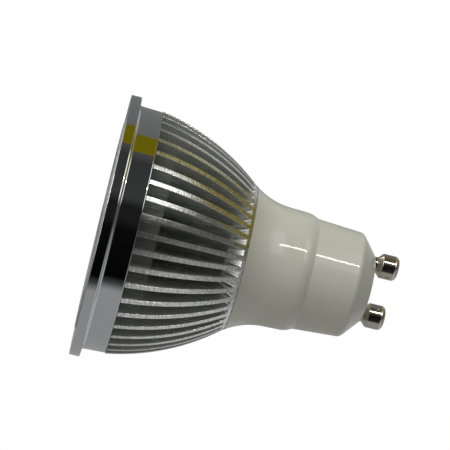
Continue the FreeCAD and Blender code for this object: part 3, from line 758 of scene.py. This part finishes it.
def world():
    """White behind the object and soft light from all round."""
    settings = bpy.data.worlds.new("world")
    bpy.context.scene.world = settings
    settings.use_nodes = True
    tree = settings.node_tree
    background = tree.nodes["Background"]
    mix = add_node(tree, "ShaderNodeMapRange")
    mix.inputs["To Min"].default_value = AMBIENT
    mix.inputs["To Max"].default_value = 1.0
    tree.links.new(seen_ray(tree), mix.inputs["Value"])
    tree.links.new(mix.outputs["Result"], background.inputs["Strength"])
    background.inputs["Color"].default_value = (*WHITE, 1)


# The dome of studio walls that the polished metal mirrors
WALL_RADIUS = 1400.0
WALL_ROWS = 24
WALL_STEPS = 48

# Grey of the walls by the angle from the camera round the bulb, from -180 to 180 degrees: level
# with the bulb, in three bands above it and below it. One stretch is a bright window, and the
# yellow ones give the metal its yellow reflection.
WINDOW = 1.5
YELLOW = (0.3, 0.27, 0.1)
DEEP_YELLOW = (0.2, 0.17, 0.04)
LEVEL_WALLS = ((-180, 0.33), (-58, 0.33), (-50, 0.06), (-44, 0.002), (0, 0.004), (10, 0.014),
               (22, 0.014), (30, 0.05), (66, 0.042), (75, 0.08), (99, 0.16), (106, 0.17), (180, 0.2))
UPPER_WALLS = ((-180, 0.5), (-90, 0.5), (-50, 0.45), (-33, 0.3), (-16, 0.12), (0, 0.06), (21, 0.06),
               (29, WINDOW), (66, WINDOW), (75, YELLOW), (104, YELLOW), (114, 0.45), (180, 0.45))
TOP_WALLS = ((-180, 0.5), (-60, 0.5), (-30, 0.42), (-16, 0.3), (0, 0.14), (16, 0.1), (50, 0.1),
             (60, DEEP_YELLOW), (130, DEEP_YELLOW), (145, 0.4), (180, 0.45))
ZENITH_WALLS = ((-180, 0.28), (-20, 0.28), (0, 0.14), (16, 0.1), (50, 0.1), (60, DEEP_YELLOW),
                (130, DEEP_YELLOW), (150, 0.28), (180, 0.28))
LOWER_WALLS = ((-180, 0.3), (-60, 0.3), (-40, 0.15), (0, 0.15), (20, 0.2), (180, 0.3))

# The bands beside the level one, each with the lean where it starts and the lean where it is full
WALL_BANDS = ((UPPER_WALLS, 13, 18), (TOP_WALLS, 30, 42), (ZENITH_WALLS, 48, 58),
              (LOWER_WALLS, -8, -20))

# Numbers of the mix node's colour sockets, which share their names with its other sockets
COLOUR_A, COLOUR_B, COLOUR_RESULT = 6, 7, 2

# Cards in front of the dome
CARD_STEPS = 6
CARD_DISTANCE = 900.0
FAR_CARD_DISTANCE = 920.0


def wall_shade(tree, around, stops):
    return ramp(tree, around, [((angle + 180) / 360, grey) for angle, grey in stops])


def glowing_material(name):
    """A material that only glows, with its glow node."""
    material = bpy.data.materials.new(name)
    material.use_nodes = True
    tree = material.node_tree
    tree.nodes.clear()
    glow = add_node(tree, "ShaderNodeEmission")
    output = add_node(tree, "ShaderNodeOutputMaterial")
    tree.links.new(glow.outputs[0], output.inputs["Surface"])
    return material, glow


def place_parts(tree):
    """The parts of the direction from the origin to a place, along UP_SIDE, TO_CAMERA and AXIS."""
    place = add_node(tree, "ShaderNodeTexCoord").outputs["Object"]
    way = add_node(tree, "ShaderNodeVectorMath", operation="NORMALIZE")
    tree.links.new(place, way.inputs[0])
    parts = []
    for along in (UP_SIDE, TO_CAMERA, AXIS):
        dot = add_node(tree, "ShaderNodeVectorMath", operation="DOT_PRODUCT")
        dot.inputs[1].default_value = along
        tree.links.new(way.outputs["Vector"], dot.inputs[0])
        parts.append(dot.outputs["Value"])
    return parts


def studio_walls():
    """A dome seen only in reflections, with its grey blended between the bands by the lean."""
    material, glow = glowing_material("studio_walls")
    tree = material.node_tree
    upward, ahead, along = place_parts(tree)
    angle = add_node(tree, "ShaderNodeMath", operation="ARCTAN2")
    tree.links.new(upward, angle.inputs[0])
    tree.links.new(ahead, angle.inputs[1])
    around = add_node(tree, "ShaderNodeMapRange")
    around.inputs["From Min"].default_value = -math.pi
    around.inputs["From Max"].default_value = math.pi
    tree.links.new(angle.outputs[0], around.inputs["Value"])
    shade = wall_shade(tree, around.outputs["Result"], LEVEL_WALLS)
    for stops, start, full in WALL_BANDS:
        other = wall_shade(tree, around.outputs["Result"], stops)
        lean = add_node(tree, "ShaderNodeMapRange", interpolation_type="SMOOTHSTEP")
        lean.inputs["From Min"].default_value = math.sin(math.radians(start))
        lean.inputs["From Max"].default_value = math.sin(math.radians(full))
        tree.links.new(along, lean.inputs["Value"])
        mix = add_node(tree, "ShaderNodeMix", data_type="RGBA")
        tree.links.new(lean.outputs["Result"], mix.inputs["Factor"])
        tree.links.new(shade, mix.inputs[COLOUR_A])
        tree.links.new(other, mix.inputs[COLOUR_B])
        shade = mix.outputs[COLOUR_RESULT]
    tree.links.new(shade, glow.inputs["Color"])
    leans = [math.pi * i / WALL_ROWS for i in range(WALL_ROWS + 1)]
    outline = [point(WALL_RADIUS * math.sin(lean), -WALL_RADIUS * math.cos(lean)) for lean in leans]
    obj = lathe("studio_walls", outline, WALL_STEPS, closed=False)
    dress(obj, material)
    reflections_only(obj)


def reflections_only(obj):
    obj.visible_camera = False
    obj.visible_diffuse = False
    obj.visible_transmission = False
    obj.visible_volume_scatter = False
    obj.visible_shadow = False


def card(name, colour, strength, around, lean, distance=CARD_DISTANCE):
    """A glowing card seen only in reflections, between two angles round and two leans."""
    material, glow = glowing_material(name)
    glow.inputs["Color"].default_value = (*colour, 1)
    glow.inputs["Strength"].default_value = strength
    vertices = []
    for i in range(CARD_STEPS + 1):
        for j in range(CARD_STEPS + 1):
            a = around[0] + (around[1] - around[0]) * i / CARD_STEPS
            b = lean[0] + (lean[1] - lean[0]) * j / CARD_STEPS
            vertices.append(direction(a, b) * distance)
    faces = []
    for i in range(CARD_STEPS):
        for j in range(CARD_STEPS):
            near = i * (CARD_STEPS + 1) + j
            far = near + CARD_STEPS + 1
            faces.append([near, near + 1, far + 1, far])
    obj = make_object(name, vertices, faces)
    dress(obj, material)
    reflections_only(obj)


def studio():
    floor()
    world()
    studio_walls()
    soft_lamp("key_lamp", around=55, lean=-26, distance=1.0, width=0.5, length=0.6, light=0.7)
    soft_lamp("back_lamp", around=180, lean=40, distance=1.0, width=0.7, length=0.7, light=0.5)
    card("tube", WHITE, 30.0, around=(42.4, 44.6), lean=(10.5, 23.4))
    card("front_line", WHITE, 6.0, around=(18, 46), lean=(-38, -8), distance=FAR_CARD_DISTANCE)
    card("low_card", WHITE, 2.0, around=(-35, 130), lean=(-75, -32), distance=FAR_CARD_DISTANCE)
    card("yellow_card", (0.175, 0.14, 0.004), 1.0, around=(76, 98), lean=(-12, 13))


materials = build_materials()
for finish, nodes in NODES_OF_FINISH.items():
    for node in nodes:
        dress_node(node, materials[finish])
place_piece(front_ring(), "front_ring", "ring", materials["chrome"])
place_piece(heat_sink(), "heat_sink", "heat_sink", *(materials[kind] for kind in SINK_FINISHES))
place_piece(housing(), "base_housing", "housing", materials["housing"])
place_piece(contact_pin(1), "contact_pin_1", "pin", materials["nickel"])
place_piece(contact_pin(-1), "contact_pin_2", "pin", materials["nickel"])
studio()
camera()

bpy.context.scene.view_settings.view_transform = "Standard"
